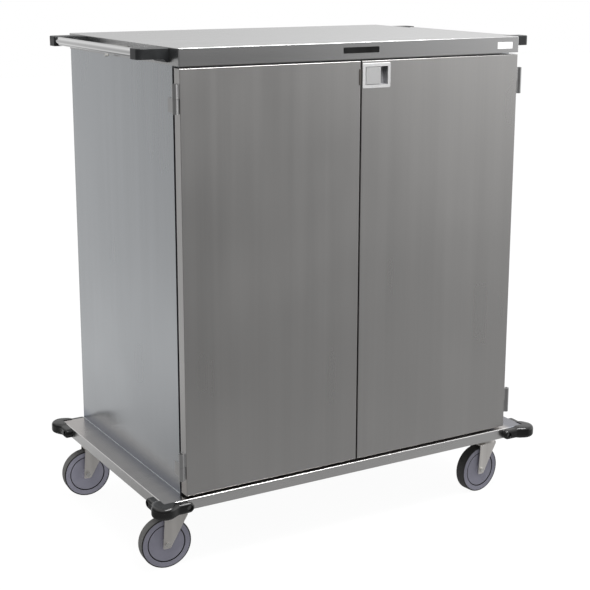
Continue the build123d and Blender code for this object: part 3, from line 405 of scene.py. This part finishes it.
# ---------------------------------------------------------------- moulded corner bumpers
LEG_LENGTH = 0.0705  # from the corner to the bolt
LEG_HALF_HEIGHT = 0.0155
LEG_THICKNESS = 0.022
LEG_ROUNDING = 0.0085
NOSE_RADIUS = 0.037
NOSE_ROUNDING = 0.011
BLEND = 0.009  # reach of the fillet between nose and legs
RECESS_RADIUS = 0.0084
RECESS_FLOOR = 0.0108
RECESS_ROUNDING = 0.0012
CELL = 0.002  # grid that the surface is found on
NUDGE = 1e-5  # step for measuring a slope
SETTLE_ROUNDS = 6
SETTLE_SHARE = 0.8  # of the way to the surface, each round
LEAST_STEEPNESS = 0.25  # keeps a flat spot from throwing a point far away


def smooth_min(first, second, reach):
    """The lesser of two distances, rounded where they meet."""
    share = np.clip(0.5 + 0.5 * (second - first) / reach, 0.0, 1.0)
    return second * (1 - share) + first * share - reach * share * (1 - share)


def rounded(across, along, rounding):
    """Distance to a shape with rounded edges, from the distances to its two profiles."""
    outside = np.hypot(np.maximum(across, 0), np.maximum(along, 0))
    return outside + np.minimum(np.maximum(across, along), 0) - rounding


def leg_distance(reach, out, height):
    """A pill along one lip: how far each point is from its surface."""
    profile = np.hypot(reach - np.clip(reach, 0, LEG_LENGTH), height) - LEG_HALF_HEIGHT + LEG_ROUNDING
    depth = np.abs(out) - LEG_THICKNESS + LEG_ROUNDING
    leg = rounded(profile, depth, LEG_ROUNDING)
    recess = np.maximum(np.hypot(reach - LEG_LENGTH, height) - RECESS_RADIUS, out + RECESS_FLOOR)
    return -smooth_min(-leg, recess, RECESS_ROUNDING)


def bumper_distance(points, leg_height, nose_low, nose_high):
    """Distance to one bumper in a frame at the base's corner, with X and Y running inwards."""
    x, y, z = points
    nose_middle = (nose_low + nose_high) / 2
    ring = np.hypot(x, y) - NOSE_RADIUS + NOSE_ROUNDING
    tall = np.abs(z - nose_middle) - (nose_high - nose_low) / 2 + NOSE_ROUNDING
    nose = rounded(ring, tall, NOSE_ROUNDING)
    legs = np.minimum(leg_distance(x, y, z - leg_height), leg_distance(y, x, z - leg_height))
    body = smooth_min(nose, legs, BLEND)
    return np.maximum(body, np.minimum(x, y))


def surface_cells(values):
    """Cells of a grid that the surface passes through, and the quads between them."""
    inside = values < 0
    counts = np.zeros(tuple(n - 1 for n in values.shape), int)
    for dx in (0, 1):
        for dy in (0, 1):
            for dz in (0, 1):
                nx, ny, nz = counts.shape
                counts += inside[dx:dx + nx, dy:dy + ny, dz:dz + nz]
    crossed = (counts > 0) & (counts < 8)
    index = np.full(counts.shape, -1)
    index[crossed] = np.arange(crossed.sum())
    quads = []
    for axis in range(3):
        ahead = np.diff(inside.astype(int), axis=axis)
        for cell in np.argwhere(ahead != 0):
            one, two = [step for step in range(3) if step != axis]
            around = []
            for back_one, back_two in ((1, 1), (0, 1), (0, 0), (1, 0)):
                corner = cell.copy()
                corner[one] -= back_one
                corner[two] -= back_two
                around.append(index[tuple(corner)])
            # across Y the two other axes run the other way round, which turns the quad over
            turned = (ahead[tuple(cell)] < 0) ^ (axis == 1)
            quads.append(around if turned else around[::-1])
    return np.argwhere(crossed), quads


def slope_at(points, distance):
    """How fast a distance grows along X, Y and Z at each point."""
    slope = np.zeros_like(points)
    for axis in range(3):
        step = np.zeros((3, 1))
        step[axis] = NUDGE
        slope[axis] = (distance(points + step) - distance(points - step)) / (2 * NUDGE)
    return slope


def settle(points, distance):
    """Moves points onto the surface along the slope of its distance."""
    for _ in range(SETTLE_ROUNDS):
        here = distance(points)
        slope = slope_at(points, distance)
        steepness = np.maximum((slope ** 2).sum(axis=0), LEAST_STEEPNESS)
        points = points - SETTLE_SHARE * here * slope / steepness
    return points


def build_bumpers():
    """Rounded rubber corners whose nose and legs flow into each other."""
    _, base_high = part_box("base_platform")
    nose_low, nose_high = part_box("bumper_front_left")[0][2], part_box("bumper_front_left")[1][2]
    bolts_low, bolts_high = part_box("bumper_bolts")
    leg_height = (bolts_low[2] + bolts_high[2]) / 2

    def distance(points):
        return bumper_distance(points, leg_height, nose_low, nose_high)

    start = np.array([-NOSE_RADIUS - 2 * CELL, -NOSE_RADIUS - 2 * CELL, nose_low - 2 * CELL])
    length = LEG_LENGTH + LEG_HALF_HEIGHT
    end = np.array([length + 2 * CELL, length + 2 * CELL, nose_high + 2 * CELL])
    ranges = [np.arange(start[i], end[i] + CELL, CELL) for i in range(3)]
    grid = np.array(np.meshgrid(*ranges, indexing="ij"))
    cells, quads = surface_cells(distance(grid))
    settled = settle((start + (cells + 0.5) * CELL).T, distance)
    points, normals = settled.T, slope_at(settled, distance).T
    normals /= np.linalg.norm(normals, axis=1, keepdims=True)
    for corner in CORNERS:
        sx = -1 if "left" in corner else 1
        sy = -1 if "front" in corner else 1
        x = sx * (base_high[0] - points[:, 0])
        y = sy * (base_high[1] - points[:, 1])
        faces = quads if sx * sy > 0 else [quad[::-1] for quad in quads]
        mesh = bpy.data.meshes.new(f"moulded_bumper_{corner}")
        mesh.from_pydata(np.stack([x, y, points[:, 2]], axis=1).tolist(), [], faces)
        mesh.polygons.foreach_set("use_smooth", [True] * len(faces))
        mesh.normals_split_custom_set_from_vertices((normals * (-sx, -sy, 1)).tolist())
        mesh.materials.append(finishes["bumper"])
        piece = bpy.data.objects.new(f"moulded_bumper_{corner}", mesh)
        bpy.context.scene.collection.objects.link(piece)
        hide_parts(f"bumper_{corner}")
        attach(piece, "cart_body")


build_bumpers()


# ---------------------------------------------------------------- weld beads
BEAD_STEP = 0.012
BEAD_RADIUS = 0.0011
BEAD_RISE = 0.4  # height of a bead's middle over the base, in radii


def build_bead(name, points):
    """A thin bright bead along a seam, slightly uneven as it was run by hand."""
    curve = bpy.data.curves.new(name, "CURVE")
    curve.dimensions = "3D"
    curve.bevel_depth = BEAD_RADIUS
    curve.bevel_resolution = 3
    curve.use_fill_caps = True
    for start, end in zip(points, points[1:]):
        run = Vector(end) - Vector(start)
        steps = max(int(run.length / BEAD_STEP), 1)
        line = curve.splines.new("POLY")
        line.points.add(steps)
        for i, point in enumerate(line.points):
            point.co = (*(Vector(start) + run * i / steps), 1.0)
            point.radius = 1.0 + 0.12 * sin(i * 2.4) * cos(i * 0.7)
    curve.materials.append(finishes["bead"])
    bead = bpy.data.objects.new(name, curve)
    bpy.context.scene.collection.objects.link(bead)
    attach(bead, "cart_body")


def build_beads():
    """Seams between the base and the cabinet's two sides and back."""
    left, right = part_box("left_side_panel"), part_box("right_side_panel")
    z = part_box("base_platform")[1][2] + BEAD_RADIUS * BEAD_RISE
    front, back = left[0][1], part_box("back_panel")[1][1]
    for side, x in (("left", left[0][0]), ("right", right[1][0])):
        build_bead(f"base_bead_{side}", [(x, front, z), (x, back, z)])
    build_bead("base_bead_back", [(left[0][0], back, z), (right[1][0], back, z)])


build_beads()


# ---------------------------------------------------------------- studio
def shade(tree, value, start, end, first, second):
    """Goes smoothly from the first number at start to the second at end."""
    return mix_values(tree, smooth_step(tree, value, start, end), first, second)


def build_world():
    """Soft light all round: bright overhead and behind, darker towards the doors and the left."""
    world = bpy.data.worlds.new("studio")
    world.use_nodes = True
    tree = world.node_tree
    tree.nodes.clear()
    direction = add(tree, "TexCoord").outputs["Generated"]
    axes = add(tree, "SeparateXYZ", {0: direction}).outputs
    x, y, z = axes["X"], axes["Y"], axes["Z"]
    front_low = shade(tree, x, 0.30, 0.95, 0.12, 0.50)
    front_high = shade(tree, x, 0.42, 0.85, 0.15, 1.4)
    front = shade(tree, z, -0.16, -0.05, front_low, front_high)
    back_left = shade(tree, x, -0.60, -0.14, 0.24, 0.86)
    back_right = shade(tree, x, 0.35, 0.80, 0.64, 0.98)
    back = shade(tree, x, -0.10, 0.30, back_left, back_right)
    walls = shade(tree, y, -0.25, 0.35, front, back)
    sky = shade(tree, z, 0.30, 0.80, walls, 1.3)
    front_floor = shade(tree, z, -0.16, -0.62, sky, 0.38)
    pale_to_dark = shade(tree, z, -0.27, -0.40, 1.0, 0.20)
    back_floor = shade(tree, z, -0.20, -0.42, sky, pale_to_dark)
    reflected = shade(tree, y, -0.25, 0.35, front_floor, back_floor)
    seen = add(tree, "LightPath").outputs["Is Camera Ray"]
    strength = mix_values(tree, seen, reflected, 1.0)
    colour = (1.0, 1.0, 1.0, 1.0)
    background = add(tree, "Background", {"Color": colour, "Strength": strength})
    output = add(tree, "OutputWorld")
    tree.links.new(background.outputs[0], output.inputs["Surface"])
    bpy.context.scene.world = world


def build_floor():
    """Plain pale floor that mostly glows, with only a soft shadow; metal doesn't mirror it."""
    half = 15.0
    mesh = bpy.data.meshes.new("floor")
    corners = [(-half, -half, 0), (half, -half, 0), (half, half, 0), (-half, half, 0)]
    mesh.from_pydata(corners, [], [(0, 1, 2, 3)])
    floor = bpy.data.objects.new("floor", mesh)
    bpy.context.scene.collection.objects.link(floor)
    material = bpy.data.materials.new("pale_floor")
    material.use_nodes = True
    tree = material.node_tree
    tree.nodes.clear()
    glow = add(tree, "Emission", {"Color": grey(0.95), "Strength": 1.0})
    paper = add(tree, "BsdfDiffuse", {"Color": grey(0.07)})
    both = add(tree, "AddShader", {0: glow.outputs[0], 1: paper.outputs[0]})
    output = add(tree, "OutputMaterial")
    tree.links.new(both.outputs[0], output.inputs["Surface"])
    mesh.materials.append(material)
    floor.visible_glossy = False


def add_softbox(name, place, target, width, length, power):
    """A rectangular light that faces a point and isn't seen by the camera."""
    light = bpy.data.lights.new(name, "AREA")
    light.shape = "RECTANGLE"
    light.size = width
    light.size_y = length
    light.energy = power
    lamp = bpy.data.objects.new(name, light)
    lamp.location = place
    aim = bpy.data.objects.new(name + "_aim", None)
    aim.location = target
    for item in (lamp, aim):
        bpy.context.scene.collection.objects.link(item)
    turn = lamp.constraints.new("TRACK_TO")
    turn.target = aim
    turn.track_axis = "TRACK_NEGATIVE_Z"
    turn.up_axis = "UP_Y"
    lamp.visible_camera = False


def build_camera():
    """Camera that stands in front of the left corner, a little above the top panel."""
    data = bpy.data.cameras.new("camera")
    data.lens = 80.43
    data.sensor_width = 36.0
    data.shift_x = -0.0213
    data.shift_y = -0.06
    camera = bpy.data.objects.new("camera", data)
    camera.location = (-2.0796, -3.5637, 1.7384)
    camera.rotation_euler = (radians(77.014), radians(-0.231), radians(-30.891))
    bpy.context.scene.collection.objects.link(camera)
    bpy.context.scene.camera = camera


build_world()
build_floor()
add_softbox("overhead_strip", place=(0.3, -1.4, 3.0), target=(0.0, -0.4, 0.3),
            width=2.4, length=0.7, power=90.0)
build_camera()
bpy.context.scene.view_settings.view_transform = "Standard"
